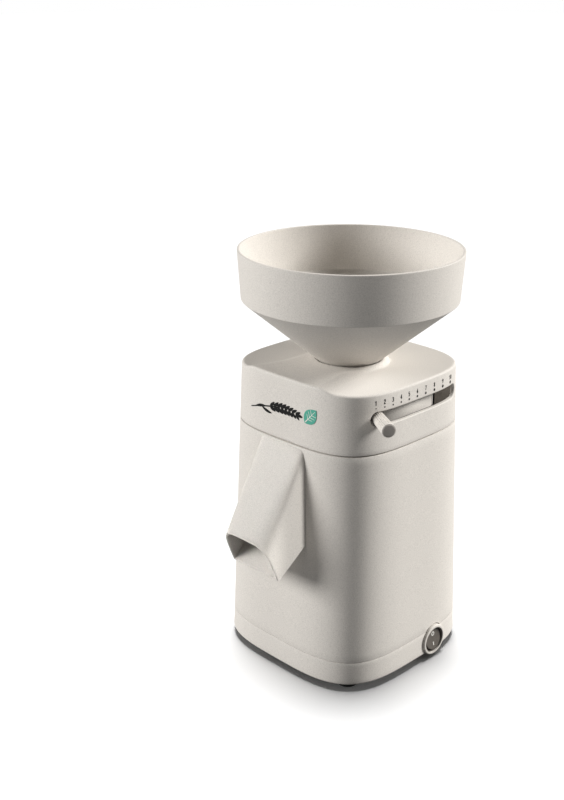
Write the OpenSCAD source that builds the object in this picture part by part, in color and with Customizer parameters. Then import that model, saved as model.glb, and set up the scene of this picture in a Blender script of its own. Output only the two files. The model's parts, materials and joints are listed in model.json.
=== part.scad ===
// Electric stone grain mill: hopper, ring-adjusted pair of mill stones, flour spout
// and an induction motor, in a tapered square housing.
// Origin on the stone axis at floor level, +Z up, spout towards -Y, lever slot towards +X.

/* [Housing] */
// Height of the flat top of the housing above the floor
body_top_z = 270; // [268:0.5:271]
// Half width of the housing at its lower edge
half_low = 89; // [88:0.5:91]
// Half width of the housing at its top edge
half_high = 80; // [79:0.5:82]
// Distance from the centre lines to the axes of the rounded corners
corner_c = 34; // [32:0.5:36]
// Housing wall thickness
wall = 3; // [2.5:0.1:3.1]
// Height of the parting line between upper and lower housing
seam_z = 218; // [217.5:0.1:218.5]
// Height of the parting line above the base pan
pan_z = 28; // [27:0.5:28]
// Height of the rubber feet
foot_h = 6; // [5:0.5:6]
// Rise of the hump around the collar
hump_h = 3.5; // [2.5:0.1:4]

/* [Hopper] */
// Height of the hopper rim above the floor
rim_z = 370; // [360:1:390]
// Outer radius at the rim
rim_r = 96.6; // [95:0.2:100]
// Height of the edge where the cone starts
edge_z = 327.5; // [322:0.5:335]
// Outer radius at that edge
edge_r = 94; // [92:0.5:95]
// Hopper wall thickness
hopper_wall = 2.5; // [2:0.1:3]

/* [Stones] */
// Radius of both mill stones
stone_r = 45; // [43:0.5:45]
// Gap between the stones at the finest setting
stone_gap = 0.2; // [0.1:0.05:0.5]
// Number of furrows in each stone
furrows = 12; // [8:1:16]

/* [Spout] */
// Half width of the spout's foot where it joins the housing
spout_half_w = 31; // [30:0.5:33]
// Half width of the spout's top where it joins the housing
spout_top_half_w = 26.8; // [25:0.2:28]
// Half width of the arched mouth
mouth_half_w = 28; // [27:0.5:29]
// Length of the mouth from its feet to its apex
mouth_len = 38.6; // [37:0.1:40]
// Spout wall thickness
spout_wall = 2.5; // [2:0.1:3]

/* [Lever and switch] */
// Angle of the lever at the finest setting, from +X
lever_deg = -31.5; // [-31.5:0.5:-30]
// Height of the lever axis
lever_z = 248.6; // [248.4:0.1:248.8]
// Radius of the lever sleeve
sleeve_r = 5.6; // [5:0.1:5.6]
// Tilt of the rocker to each side of flat
rocker_tilt = 8; // [5:0.5:9]

/* [Motor] */
// Outer radius of the stator stack
stator_r = 56; // [55:0.5:56]
// Radius of the rotor stack
rotor_r = 30; // [28:0.5:30]
// Radius of the motor shaft
shaft_r = 7.5; // [7.5:0.5:7.5]

/* [Hidden] */

$fn = 64;
gap = 0.05;            // clearance between parts that touch
eps = 0.01;            // overlap used only inside one solid
shell = [0.84, 0.83, 0.81];
dark = [0.22, 0.21, 0.2];
steel = [0.75, 0.76, 0.78];
alloy = [0.68, 0.7, 0.72];
teal = [0.31, 0.63, 0.55];

chamber_r = 61;        // outer radius of the milling chamber
chamber_floor_z = 190;
lower_stone_z = 203;
gap_z = 225;           // top face of the lower stone
disc_z = 247;          // underside of the carrier disc
ring_top_z = 257.5;    // top of the adjusting ring
ring_web = 3;
slot_h = 12;
slot_half = 54.6;
ear_r = 66;            // radius of the motor mounting holes
corner = 62;           // x and y of the corner screws and feet
upper_boss = 57.5;     // x and y of the upper housing bosses
boss_low_z = 225.05;   // lower end of those bosses
switch_y = 24;
switch_z = 17.5;
switch_face_x = 92;
switch_r = 12;
rocker_x = 85.5;
inlet_z = 45;
inlet_face_y = 86.2;
capacitor_x = -70;
capacitor_z = 24;
capacitor_r = 12;

// ---- shared shapes ----

// Half width of the tapered housing at height z
function half(z) = half_low + (half_high - half_low) * (z - foot_h) / (body_top_z - foot_h);

function signed_power(v, p) = sign(v) * pow(abs(v), p);

// Square frustum with corners rounded by upright cones, which meet its sides in tangents
module round_frustum(z0, z1, h0, h1) {
    for (q = [0, 90])
        rotate([0, 0, q]) rotate([90, 0, 0])
            translate([0, 0, -corner_c]) linear_extrude(height = 2 * corner_c)
                polygon([[-h0, z0], [h0, z0], [h1, z1], [-h1, z1]]);
    at_corners(corner_c) translate([0, 0, z0])
        cylinder(h = z1 - z0, r1 = h0 - corner_c, r2 = h1 - corner_c);
}

// The housing's own solid between two heights, drawn in by inset
module taper(z0, z1, inset = 0) {
    round_frustum(z0, z1, half(z0) - inset, half(z1) - inset);
}

module ring(r_out, r_in, z0, z1) {
    difference() {
        translate([0, 0, z0]) cylinder(h = z1 - z0, r = r_out);
        translate([0, 0, z0 - 1]) cylinder(h = z1 - z0 + 2, r = r_in);
    }
}

module disc(r, z0, z1) {
    translate([0, 0, z0]) cylinder(h = z1 - z0, r = r);
}

module at_corners(d) {
    for (sx = [-1, 1], sy = [-1, 1])
        translate([sx * d, sy * d, 0]) children();
}

module around(count, r, start = 0) {
    for (i = [0 : count - 1])
        rotate([0, 0, start + i * 360 / count]) translate([r, 0, 0]) children();
}

function toward(a, b, d) = a + d * (b - a) / norm(b - a);

// A round wire through a list of points, whose end faces lie on the first and last point
module wire(points, r = 1.1) {
    last = len(points) - 1;
    centres = [for (i = [0 : last])
        i == 0 ? toward(points[0], points[1], r + gap) :
        i == last ? toward(points[last], points[last - 1], r + gap) : points[i]];
    for (i = [1 : last])
        hull()
            for (p = [centres[i - 1], centres[i]])
                translate(p) sphere(r = r, $fn = 8);
}

module screw(head_r, head_z0, head_z1, shank_r, shank_z0, shank_z1) {
    disc(head_r, head_z0, head_z1);
    disc(shank_r, shank_z0, shank_z1);
}

// ---- housing ----

mouth_tilt = 112.6;    // turns the mouth's plane about X, so its normal is mouth_out
mouth_out = [0, -sin(mouth_tilt), cos(mouth_tilt)];
mouth_foot = [0, -112.5, 106.4];
spout_low_z = 131;
spout_top_z = 215.7;

module arch_2d(w, h) {
    polygon([for (i = [0 : 15 : 180])
        [w * signed_power(cos(i), 0.47), h * signed_power(sin(i), 0.47)]]);
}

// The spout's outer form, or with an inset its cavity, drawn reach past the mouth's
// plane and depth behind the housing's face
module spout_solid(inset, reach, depth) {
    top = spout_top_z - inset;
    low = spout_low_z + inset;
    hull() {
        translate([0, -half(low) + depth, low])
            linear_extrude(height = 0.1) square([2 * (spout_half_w - inset), 0.2], center = true);
        translate([0, -half(top) + depth + inset, top - 0.1])
            linear_extrude(height = 0.1)
                square([2 * (spout_top_half_w - inset), 0.2], center = true);
        translate(mouth_foot + reach * mouth_out)
            rotate([mouth_tilt, 0, 0])
                translate([0, inset, 0])
                    linear_extrude(height = 0.2)
                        arch_2d(mouth_half_w - inset, mouth_len - 2 * inset);
    }
}

// Round bar along the switch axis between two places in X
module switch_bar(r, x0, x1) {
    translate([x0, switch_y, switch_z]) rotate([0, 90, 0]) cylinder(h = x1 - x0, r = r);
}

module lower_housing() {
    color(shell) difference() {
        union() {
            difference() {
                union() {
                    taper(pan_z + gap, seam_z);
                    spout_solid(0, 0, 0);
                }
                taper(pan_z - 1, seam_z + 1, wall);
            }
            // lip that locates the upper housing
            difference() {
                union() {
                    taper(seam_z - 10, seam_z - gap, wall - 0.3);
                    taper(seam_z - gap - eps, seam_z + 4, wall + 0.1);
                }
                taper(seam_z - 11, seam_z + 5, wall + 2);
            }
            at_corners(corner) disc(5, pan_z + gap, 62);
            for (q = [45 : 90 : 315])
                rotate([0, 0, q]) translate([corner * sqrt(2) + 2, -1.2, pan_z + 6])
                    cube([11, 2.4, 28]);
        }
        spout_solid(spout_wall, 3, wall + 2);
        switch_bar(14.6, 74, 100);
        at_corners(corner) disc(1.95, pan_z - 1, 50);
        at_corners(corner) disc(6.6, pan_z - 1, pan_z + 1);
        // appliance inlet: flat seat, body hole and screw holes
        translate([-25.5, inlet_face_y, inlet_z - 12]) cube([51, 10, 24]);
        translate([-13.7, 75, inlet_z - 10]) cube([27.4, 20, 20]);
        for (s = [-1, 1])
            translate([s * 20, 100, inlet_z]) rotate([90, 0, 0]) cylinder(h = 40, r = 1.55, $fn = 32);
    }
}

module hump() {
    intersection() {
        hull() {
            translate([0, 0, body_top_z - 1]) linear_extrude(height = 1)
                polygon([for (a = [0 : 10 : 180]) [36 * cos(a), 36 * sin(a)],
                    [-37, -40], [-56, -90], [56, -90], [37, -40]]);
            translate([0, 0, body_top_z + hump_h - 0.1]) linear_extrude(height = 0.1)
                polygon([for (a = [0 : 10 : 180]) [33 * cos(a), 33 * sin(a)],
                    [-32, -40], [-40, -90], [40, -90], [32, -40]]);
        }
        taper(body_top_z - 5, body_top_z + 10, 1.2);
    }
}

module upper_housing() {
    edge = 1.6;
    color(shell) difference() {
        union() {
            difference() {
                union() {
                    taper(seam_z + gap, body_top_z - edge);
                    round_frustum(body_top_z - edge, body_top_z, half(body_top_z - edge),
                        half(body_top_z) - edge);
                    hump();
                }
                taper(seam_z - 6, body_top_z - wall, wall);
            }
            at_corners(upper_boss) disc(4.5, boss_low_z, body_top_z - wall + eps);
            // rib that holds the adjusting ring down
            ring(60, 58, ring_top_z + 0.5, body_top_z - wall + eps);
        }
        disc(31.5, body_top_z - 10, body_top_z + 10);
        lever_slot(0);
        at_corners(upper_boss) disc(1.55, boss_low_z - 1, boss_low_z + 18);
    }
}

module lever_slot(extra) {
    r = slot_h / 2 + extra;
    translate([65, -slot_half + slot_h / 2, lever_z - r]) cube([30, 2 * slot_half - slot_h, 2 * r]);
    for (s = [-1, 1])
        translate([65, s * (slot_half - slot_h / 2), lever_z])
            rotate([0, 90, 0]) cylinder(h = 30, r = r);
}

module dust_strip() {
    color(dark) difference() {
        intersection() {
            taper(228, 259, wall + 0.1);
            linear_extrude(height = 300) polygon([[30, 0], [62, -120], [120, -100],
                [120, 100], [62, 120]]);
        }
        taper(227, 260, wall + 1.8);
        lever_slot(0.6);
        at_corners(upper_boss) disc(5, 220, 265);
    }
}

module base_pan() {
    rib = 2.5;
    color(shell) difference() {
        union() {
            difference() {
                taper(foot_h + 1.5, pan_z);
                taper(foot_h + 3, pan_z + 1, wall);
            }
            round_frustum(foot_h, foot_h + 1.5, half(foot_h) - 1.5, half(foot_h + 1.5));
            // lip that locates the lower housing
            difference() {
                union() {
                    taper(pan_z - 6, pan_z - gap, wall - 0.3);
                    taper(pan_z - gap - eps, pan_z + 5, wall + 0.1);
                }
                taper(pan_z - 7, pan_z + 6, wall + 2);
                translate([60, 0, pan_z]) cube([20, 60, 20]);
                at_corners(corner) disc(6.8, pan_z - 2, pan_z + 10);
            }
            difference() {
                switch_bar(14.5, 76, switch_face_x);
                translate([70, 0, 0]) cube([14, 50, foot_h]);
            }
            at_corners(corner) disc(6.5, foot_h + 1, pan_z - gap);
            around(4, ear_r, 45) disc(7, foot_h + 1, 44);
            // saddle and screw post of the capacitor
            translate([capacitor_x - 10, -12, foot_h + 1]) cube([20, 24, 11]);
            translate([-53.5, 0, 0]) disc(4, foot_h + 1, 18);
        }
        switch_bar(switch_r + 0.1, 80.5, 110);
        switch_bar(8.6, 60, 90);
        at_corners(corner) disc(4.2, foot_h - 1, 12);
        at_corners(corner) disc(2.1, foot_h, pan_z + 1);
        around(4, ear_r, 45) disc(2.45, 20, 50);
        translate([-53.5, 0, 0]) disc(1.5, 10, 20);
        translate([capacitor_x, 20, capacitor_z]) rotate([90, 0, 0]) cylinder(h = 40, r = 12.05);
        // cooling air slots
        for (i = [-4 : 4])
            translate([i * 8 - rib, -26, foot_h - 1]) cube([rib * 2, 52, 6]);
    }
}

module feet() {
    color(dark) at_corners(corner) ring(9.5, 4.5, 0, foot_h - gap);
}

module base_screws() {
    color(steel) at_corners(corner) screw(3.8, 9, 11.95, 1.9, 11.5, 46);
}

module housing_screws() {
    color(steel) at_corners(upper_boss) screw(3.2, 217.5, 219.95, 1.5, 219, 240);
}

module badge() {
    color(teal) intersection() {
        translate([31.5, -70, 247]) rotate([90, 0, 0]) linear_extrude(height = 20)
            leaf_2d(8.6, 45);
        difference() {
            taper(230, 262, -0.5);
            taper(229, 263, -0.02);
        }
    }
}

// Two equal arcs that meet in two points
module leaf_2d(half_len, turn) {
    rotate(turn) intersection() {
        translate([0, half_len * 0.55]) circle(r = half_len * 1.14);
        translate([0, -half_len * 0.55]) circle(r = half_len * 1.14);
    }
}

// ---- milling unit, fixed parts ----

module flour_chute() {
    color(shell) difference() {
        chute_block(0);
        chute_block(2);
        disc(chamber_r + gap, 140, 260);
    }
}

module chute_block(inset) {
    y0 = -52 + (inset > 0 ? 10 : 0);
    y1 = -half(200) + wall + 0.9 - (inset > 0 ? 5 : 0);
    w = 29 - inset;
    hull() {
        translate([-w, y0 - 0.1, 186 + inset]) cube([2 * w, 0.1, 28 - 2 * inset]);
        translate([-w, y1, 158 + inset]) cube([2 * w, 0.1, 49.5 - 2 * inset]);
    }
}

module mill_chamber() {
    color(alloy) difference() {
        union() {
            ring(chamber_r, 50.5, chamber_floor_z - 4, 252);
            disc(chamber_r, chamber_floor_z - 4, chamber_floor_z);
            around(4, 60, 45) disc(6, 166.05, chamber_floor_z);
            intersection() {
                at_corners(upper_boss) disc(5.5, 220, 225);
                disc(95, 219, 226);
            }
            for (q = [45 : 90 : 315])
                rotate([0, 0, q]) translate([chamber_r - 3, -4, 220]) cube([20, 8, 5]);
        }
        disc(50.5, chamber_floor_z, 230);
        disc(57, gap_z + 2.5, 260);
        disc(13.02, 180, 195);
        at_corners(upper_boss) disc(1.6, 219, 226);
        around(4, 60, 45) disc(2.1, 160, 184);
        outlet_window();
    }
}

module outlet_window() {
    intersection() {
        translate([-27, -80, chamber_floor_z]) cube([54, 60, 22]);
        disc(80, 180, 220);
    }
}

module chamber_screws() {
    color(steel) around(4, 60, 45) screw(4, 156.2, 159.9, 2, 159, 182);
}

module chamber_gasket() {
    color([0.9, 0.88, 0.8]) ring(56.9, 52.4, 250.05, 251.9);
}

module thread_ring() {
    color([0.85, 0.72, 0.4]) ring(56.95, 52.06, gap_z + 2.6, 250);
}

module shaft_seal() {
    color(dark) ring(13, shaft_r + gap, 186, 189.9);
}

// ---- motor ----

module bracket_ears(z0, z1) {
    around(4, ear_r, 45) disc(8, z0, z1);
}

module top_bracket() {
    color(alloy) difference() {
        union() {
            disc(60, 160, 166);
            disc(21, 158.2, 172);
            ring(60, stator_r + gap, 134, 160.5);
            around(4, 60, 45) disc(6, 160, 166);
        }
        disc(17.52, 160, 180);
        disc(11, 150, 180);
        around(4, 51) disc(2.2, 150, 180);
        around(4, 60, 45) disc(4.2, 150, 160);
        around(4, 60, 45) disc(2.1, 155, 170);
        around(12, 38, 15) disc(4, 155, 170);
    }
}

module bottom_bracket() {
    color(alloy) difference() {
        union() {
            disc(60, 62, 68);
            bracket_ears(62, 68);
            disc(21, 59.5, 73.5);
            ring(60, stator_r + gap, 67.5, 98);
        }
        disc(17.52, 61.5, 90);
        disc(11, 50, 90);
        around(4, 51) disc(2.2, 50, 80);
        around(4, ear_r, 45) disc(2.6, 60, 70);
        around(12, 38, 15) disc(4, 60, 70);
        // notch for the motor leads
        rotate([0, 0, 105]) translate([50, -6, 76]) cube([20, 12, 8]);
    }
}

module stator_core() {
    color([0.5, 0.5, 0.52]) difference() {
        ring(stator_r, rotor_r + 0.5, 90, 142);
        around(4, 51) disc(2.2, 80, 150);
    }
}

module stator_windings() {
    color([0.72, 0.42, 0.2]) {
        ring(48, 33, 74, 89.95);
        ring(48, 33, 142.05, 157.5);
    }
}

module tie_bolts() {
    color(steel) around(4, 51) {
        disc(2, 60, 168);
        translate([0, 0, 58.2]) cylinder(h = 3.75, r = 3.9, $fn = 6);
        translate([0, 0, 166.05]) cylinder(h = 3.4, r = 3.9, $fn = 6);
    }
}

module bearing_outer(z0) {
    color(steel) difference() {
        disc(17.5, z0, z0 + 11);
        disc(14.7, z0 - 1, z0 + 12);
    }
    // shields
    color(dark) for (z = [z0 + 0.6, z0 + 9.4])
        ring(14.8, 10.4, z, z + 1);
}

module bearing_inner(z0) {
    color(steel) ring(10.3, shaft_r + 0.02, z0, z0 + 11);
}

top_bearing_z = 160.05;
bottom_bearing_z = 62.6;

module top_bearing_outer() {
    bearing_outer(top_bearing_z);
}

module bottom_bearing_outer() {
    bearing_outer(bottom_bearing_z);
}

module top_bearing_inner() {
    bearing_inner(top_bearing_z);
}

module bottom_bearing_inner() {
    bearing_inner(bottom_bearing_z);
}

module wave_washer() {
    color(steel) ring(17, 14, 61.55, 62.5);
}

module thermal_cutout() {
    color(dark) translate([36, -6, 68.1]) cube([8, 12, 5.8]);
}

module motor_mounts() {
    color(dark) around(4, ear_r, 45) ring(8, 2.7, 44.05, 61.95);
}

module mount_screws() {
    color(steel) around(4, ear_r, 45) screw(4.5, 68.05, 71.5, 2.4, 26, 69);
}

module motor_shaft() {
    color(steel) difference() {
        union() {
            disc(shaft_r, 40, 212);
            disc(5, 211, 230);
        }
        translate([4.5, -2.52, 194]) cube([6, 5.04, 14]);
        ring(9, 6.6, 41.5, 42.8);
    }
}

module rotor_core() {
    color([0.5, 0.5, 0.52]) ring(rotor_r, shaft_r + 0.02, 90, 142);
}

module rotor_end_rings() {
    color(alloy) {
        ring(27, 16, 84, 89.98);
        ring(27, 16, 142.02, 148);
    }
}

module cooling_fan() {
    color(dark) difference() {
        union() {
            disc(12, 44, 56);
            disc(30, 44, 46);
            around(9, 10) translate([0, -1, 44]) cube([38, 2, 13]);
        }
        disc(shaft_r + 0.02, 40, 60);
    }
}

module fan_clip() {
    color(steel) difference() {
        ring(10.5, 6.65, 41.6, 42.7);
        translate([-20, -2.5, 40]) cube([20, 5, 4]);
    }
}

// ---- milling unit, turning parts ----

module stone_hub() {
    color(alloy) difference() {
        union() {
            disc(12, 190.5, 200);
            disc(40, 198, lower_stone_z - gap);
            disc(13.9, 198, 212);
            around(4, 8) translate([0, -2, 190.5]) cube([41.3, 4, 8.5]);
        }
        disc(shaft_r + 0.02, 180, 220);
        translate([0, -2.52, 194]) cube([9.9, 5.04, 20]);
    }
}

module drive_key() {
    color(steel) translate([4.55, -2.5, 194.05]) cube([5.3, 5, 13.9]);
}

module stone_furrows(z, depth) {
    for (i = [0 : furrows - 1])
        rotate([0, 0, i * 360 / furrows])
            translate([19, 5, z]) cube([22, 2, depth]);
}

module lower_stone() {
    color([0.8, 0.79, 0.76]) difference() {
        disc(stone_r, lower_stone_z, gap_z);
        disc(14, 200, 230);
        disc(20.1, gap_z - 5, 230);
        stone_furrows(gap_z - 1.5, 3);
    }
}

module feed_nut() {
    color(steel) difference() {
        union() {
            disc(13.6, 212.1, 220.1);
            disc(19.9, 220.05, 223);
            translate([0, 0, 223]) cylinder(h = 16, r1 = 12, r2 = 5.5);
            around(2, 4) translate([0, -1.5, 223]) cube([9.5, 3, 12]);
        }
        disc(5.02, 210, 231);
    }
}

module upper_stone() {
    z0 = gap_z + stone_gap;
    color([0.8, 0.79, 0.76]) difference() {
        disc(stone_r, z0, disc_z - gap);
        disc(16, 200, 250);
        around(3, 36, 60) disc(2.5, 236, 250);
        rotate([180, 0, 0]) stone_furrows(-z0 - 1.5, 3);
    }
}

module stone_screws() {
    color(steel) around(3, 36, 60) screw(4, 248.05, 250.9, 2.4, 237, 249);
}

module stone_carrier() {
    color(alloy) difference() {
        union() {
            ring(52, 46.05, gap_z + 2.6, 251);
            disc(52, disc_z, 251);
            disc(30.9, 250, 264);
            around(3, 28) translate([0, -4, 253]) cube([6, 8, 9]);
        }
        disc(26.1, 251, 270);
        translate([0, 0, disc_z - 1]) cylinder(h = 4.01, r1 = 17, r2 = 26.1);
        disc(17, 240, disc_z + 1);
        around(3, 36, 60) disc(4.1, 248, 260);
        around(3, 36, 60) disc(2.5, 240, 260);
    }
}

// ---- adjusting ring and lever ----

module adjust_ring() {
    web_z = ring_top_z - ring_web;
    band_z0 = lever_z - 7.1;
    band_z1 = lever_z + 2.9;
    color(shell) difference() {
        union() {
            ring(64, 31.3, web_z, ring_top_z);
            ring(60.5, 57.5, 252.1, web_z + eps);
            ring(64, 62, band_z0, web_z + eps);
            ring(74, 62, band_z0, band_z0 + 2);
            ring(74, 71.5, band_z0, band_z1);
            rotate([0, 0, lever_deg]) translate([62.5, -7, band_z0]) cube([10.5, 14, 10]);
        }
        around(3, 28) translate([0, -4.2, web_z - 1]) cube([6.4, 8.4, 8]);
        lever_bar(3.02, 60, 90);
        disc(61.9, 230, 252.05);
    }
}

// Round bar along the lever axis between two radii
module lever_bar(r, from, to) {
    rotate([0, 0, lever_deg]) translate([from, 0, lever_z])
        rotate([0, 90, 0]) cylinder(h = to - from, r = r);
}

module lever_stem() {
    color(steel) lever_bar(3, 62.1, 113.9);
}

module lever_sleeve() {
    color(shell) difference() {
        lever_bar(sleeve_r, 74.5, 116.5);
        lever_bar(3.02, 70, 114);
        lever_bar(4.95, 115.3, 120);
    }
}

module lever_cap() {
    color([0.54, 0.52, 0.5]) lever_bar(4.9, 115.35, 117);
}

// ---- hopper ----

module hopper() {
    neck_r = 26;
    neck_z = 270.2;
    w = hopper_wall;
    color(shell) difference() {
        rotate_extrude($fn = 128) polygon([
            [23.4, 251.05], [neck_r - eps, 251.05], [neck_r - eps, neck_z],
            [edge_r - 1.2, edge_z - 1], [edge_r, edge_z + 1], [rim_r, rim_z - 1],
            [rim_r - 0.6, rim_z], [rim_r - w, rim_z], [edge_r - w, edge_z + 0.9],
            [23.4, neck_z + 1.2]]);
        disc(24.6, 253, 257);
    }
}

module finger_guard() {
    color(shell) {
        ring(24.5, 20, 253.1, 256);
        for (a = [0, 90])
            rotate([0, 0, a]) translate([-21, -1.5, 253.1]) cube([42, 3, 2.9]);
    }
}

// ---- electrical parts ----

module run_capacitor() {
    color([0.85, 0.86, 0.88]) {
        translate([capacitor_x, 30, capacitor_z]) rotate([90, 0, 0])
            cylinder(h = 60, r = capacitor_r);
        for (s = [-1, 1])
            translate([capacitor_x + s * 5 - 1.5, 29, capacitor_z - 0.4]) cube([3, 5, 0.8]);
    }
}

module capacitor_clip() {
    out = capacitor_r + 1.25;
    color(steel) difference() {
        union() {
            translate([capacitor_x, 5, capacitor_z]) rotate([90, 0, 0]) cylinder(h = 10, r = out);
            translate([capacitor_x, -5, 18.05]) cube([out, 10, capacitor_z - 18.05]);
            translate([capacitor_x + out - 0.2, -4, 18.05]) cube([7, 8, 1.2]);
        }
        translate([capacitor_x, 6, capacitor_z]) rotate([90, 0, 0])
            cylinder(h = 12, r = capacitor_r + gap);
        translate([capacitor_x - 20, -6, 0]) cube([40 - 10, 12, 18.05]);
        translate([capacitor_x, -6, 0]) cube([12.05, 12, capacitor_z]);
        translate([capacitor_x - 9.9, -6, 0]) cube([10, 12, 18.1]);
        translate([-53.5, 0, 0]) disc(1.7, 10, 30);
    }
}

module capacitor_screw() {
    color(steel) translate([-53.5, 0, 0]) screw(2.5, 19.3, 21, 1.45, 11, 20);
}

module terminal_block() {
    color([0.9, 0.88, 0.8]) difference() {
        translate([-17, 54, foot_h + 3.05]) cube([34, 16, 13]);
        for (i = [-2 : 2])
            translate([i * 6.5, 58, 0]) disc(1.15, 15, 30);
        for (i = [-2 : 2])
            translate([i * 6.5, 66, 0]) disc(1.15, 15, 30);
    }
}

module power_inlet() {
    color(dark) difference() {
        union() {
            translate([-13.5, 62, inlet_z - 9.8]) cube([27, inlet_face_y - 62 + 1, 19.6]);
            translate([-25, inlet_face_y + gap, inlet_z - 11.5]) cube([50, 3.2, 23]);
        }
        translate([-12.1, 70, inlet_z - 8.2]) cube([24.2, 30, 16.4]);
        for (s = [-1, 1]) {
            translate([s * 20, 100, inlet_z]) rotate([90, 0, 0]) cylinder(h = 40, r = 1.6, $fn = 32);
            translate([s * 20, 95, inlet_z]) rotate([90, 0, 0]) cylinder(h = 7, r = 3.1, $fn = 32);
        }
        inlet_blades(0.02, 60);
    }
}

module inlet_blades(extra, y0) {
    for (p = [[-7, -2], [0, 3], [7, -2]])
        translate([p[0] - 1 - extra, y0, inlet_z + p[1] - 2 - extra])
            cube([2 + 2 * extra, 85 - y0, 4 + 2 * extra]);
}

module inlet_pins() {
    color(steel) inlet_blades(0, 57);
}

module inlet_screws() {
    color(steel) for (s = [-1, 1])
        translate([s * 20, 0, inlet_z]) {
            translate([0, 89.4, 0]) rotate([90, 0, 0]) cylinder(h = 1.35, r = 3, $fn = 32);
            translate([0, 89, 0]) rotate([90, 0, 0]) cylinder(h = 11, r = 1.5, $fn = 32);
        }
}

module mains_wires() {
    color([0.4, 0.25, 0.15]) {
        wire([[-7, 56.95, 43], [-7, 54.2, 43], [-6.5, 54.2, 30], [-6.5, 58, 26], [-6.5, 58, 15.1]]);
        wire([[7, 56.95, 43], [7, 54.2, 43], [6.5, 54.2, 30], [6.5, 58, 26], [6.5, 58, 15.1]]);
        wire([[6.5, 66, 15.1], [6.5, 66, 27], [40, 67, 27], [62, 50, 23], [56, 38, 23],
            [53, 24, 23], [55.9, 24, 23]]);
        wire([[13, 66, 15.1], [13, 66, 23.5], [40, 64, 23.5], [59, 48, 12], [54, 38, 12],
            [52, 24, 12], [55.9, 24, 12]]);
    }
}

module motor_wires() {
    a = 105;
    color([0.15, 0.3, 0.6]) {
        wire([[-13, 58, 15.1], [-13, 58, 28], [66 * cos(a), 66 * sin(a), 36],
            [66 * cos(a), 66 * sin(a), 80], [48.1 * cos(a), 48.1 * sin(a), 80]]);
        wire([[-13, 66, 15.1], [-13, 66, 27], [-50, 60, 28], [-65, 46, 28],
            [capacitor_x + 5, 36.5, capacitor_z], [capacitor_x + 5, 34.05, capacitor_z]], 0.9);
    }
}

module earth_wire() {
    color([0.5, 0.65, 0.2])
        wire([[0, 56.95, 48], [0, 55, 49], [6, 56.5, 55], [6, 56.5, 61.95]], 1);
}

module switch_body() {
    color(dark) difference() {
        union() {
            switch_bar(8.4, 62, 81);
            switch_bar(switch_r, 80.55, 88);
        }
        switch_bar(10.9, 81.3, 95);
        translate([rocker_x, switch_y - 11.4, switch_z]) rotate([-90, 0, 0])
            cylinder(h = 22.8, r = 1.55);
        for (z = [-5.5, 5.5])
            translate([61, switch_y - 2.6, switch_z + z - 0.45]) cube([6, 5.2, 0.9]);
    }
}

module switch_terminals() {
    color(steel) for (z = [-5.5, 5.5])
        translate([56, switch_y - 2.5, switch_z + z - 0.4]) cube([10.9, 5, 0.8]);
}

module rocker_pivot() {
    rotate([90, 0, 0]) translate([0, 0, -11.2]) cylinder(h = 22.4, r = 1.5);
}

module switch_rocker() {
    r = 10.3;
    color([0.3, 0.28, 0.26]) translate([rocker_x, switch_y, switch_z])
        rotate([0, -rocker_tilt, 0]) {
            // a shallow V across the pivot
            intersection() {
                rotate([90, 0, 0]) translate([0, 0, -r]) linear_extrude(height = 2 * r)
                    polygon([[-3, -4], [-2, -r], [4.2, -r + 0.2], [3.4, 0], [4.2, r - 0.2],
                        [-2, r], [-3, 4]]);
                translate([-10, 0, 0]) rotate([0, 90, 0]) cylinder(h = 20, r = r);
            }
            rocker_pivot();
        }
}

lower_housing();
upper_housing();
base_pan();
feet();
base_screws();
housing_screws();
badge();
dust_strip();
flour_chute();
mill_chamber();
chamber_screws();
chamber_gasket();
thread_ring();
shaft_seal();
top_bracket();
bottom_bracket();
stator_core();
stator_windings();
tie_bolts();
top_bearing_outer();
bottom_bearing_outer();
wave_washer();
thermal_cutout();
motor_mounts();
mount_screws();
run_capacitor();
capacitor_clip();
capacitor_screw();
terminal_block();
power_inlet();
inlet_pins();
inlet_screws();
mains_wires();
motor_wires();
earth_wire();
switch_body();
switch_terminals();
adjust_ring();
lever_stem();
lever_sleeve();
lever_cap();
stone_carrier();
upper_stone();
stone_screws();
hopper();
finger_guard();
motor_shaft();
rotor_core();
rotor_end_rings();
cooling_fan();
fan_clip();
top_bearing_inner();
bottom_bearing_inner();
stone_hub();
drive_key();
lower_stone();
feed_nut();
switch_rocker();
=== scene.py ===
"""Looks of the stone grain mill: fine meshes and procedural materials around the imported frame.

Lengths in this script are millimetres in the part's own frame (stone axis at X = Y = 0, floor
at Z = 0, spout towards -Y, lever slot towards +X). new_mesh() turns them into metres.
"""

import json
import math

import bmesh
import bpy
from mathutils import Matrix, Vector


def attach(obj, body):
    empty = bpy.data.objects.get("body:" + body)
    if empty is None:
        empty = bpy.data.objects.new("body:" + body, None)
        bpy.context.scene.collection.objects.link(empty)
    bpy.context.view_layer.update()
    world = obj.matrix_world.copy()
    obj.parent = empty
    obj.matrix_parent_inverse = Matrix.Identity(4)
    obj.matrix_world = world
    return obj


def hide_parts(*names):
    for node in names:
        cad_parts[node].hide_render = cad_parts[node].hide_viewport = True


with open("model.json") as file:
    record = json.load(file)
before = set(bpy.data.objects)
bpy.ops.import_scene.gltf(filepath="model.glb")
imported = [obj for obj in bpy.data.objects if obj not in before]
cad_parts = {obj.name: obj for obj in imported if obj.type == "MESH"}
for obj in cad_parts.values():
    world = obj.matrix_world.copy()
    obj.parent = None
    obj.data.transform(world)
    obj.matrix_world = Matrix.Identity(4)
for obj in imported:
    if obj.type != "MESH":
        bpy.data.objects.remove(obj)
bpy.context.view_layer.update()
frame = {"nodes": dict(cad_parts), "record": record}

MM = 0.001
TAU = 2 * math.pi

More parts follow.
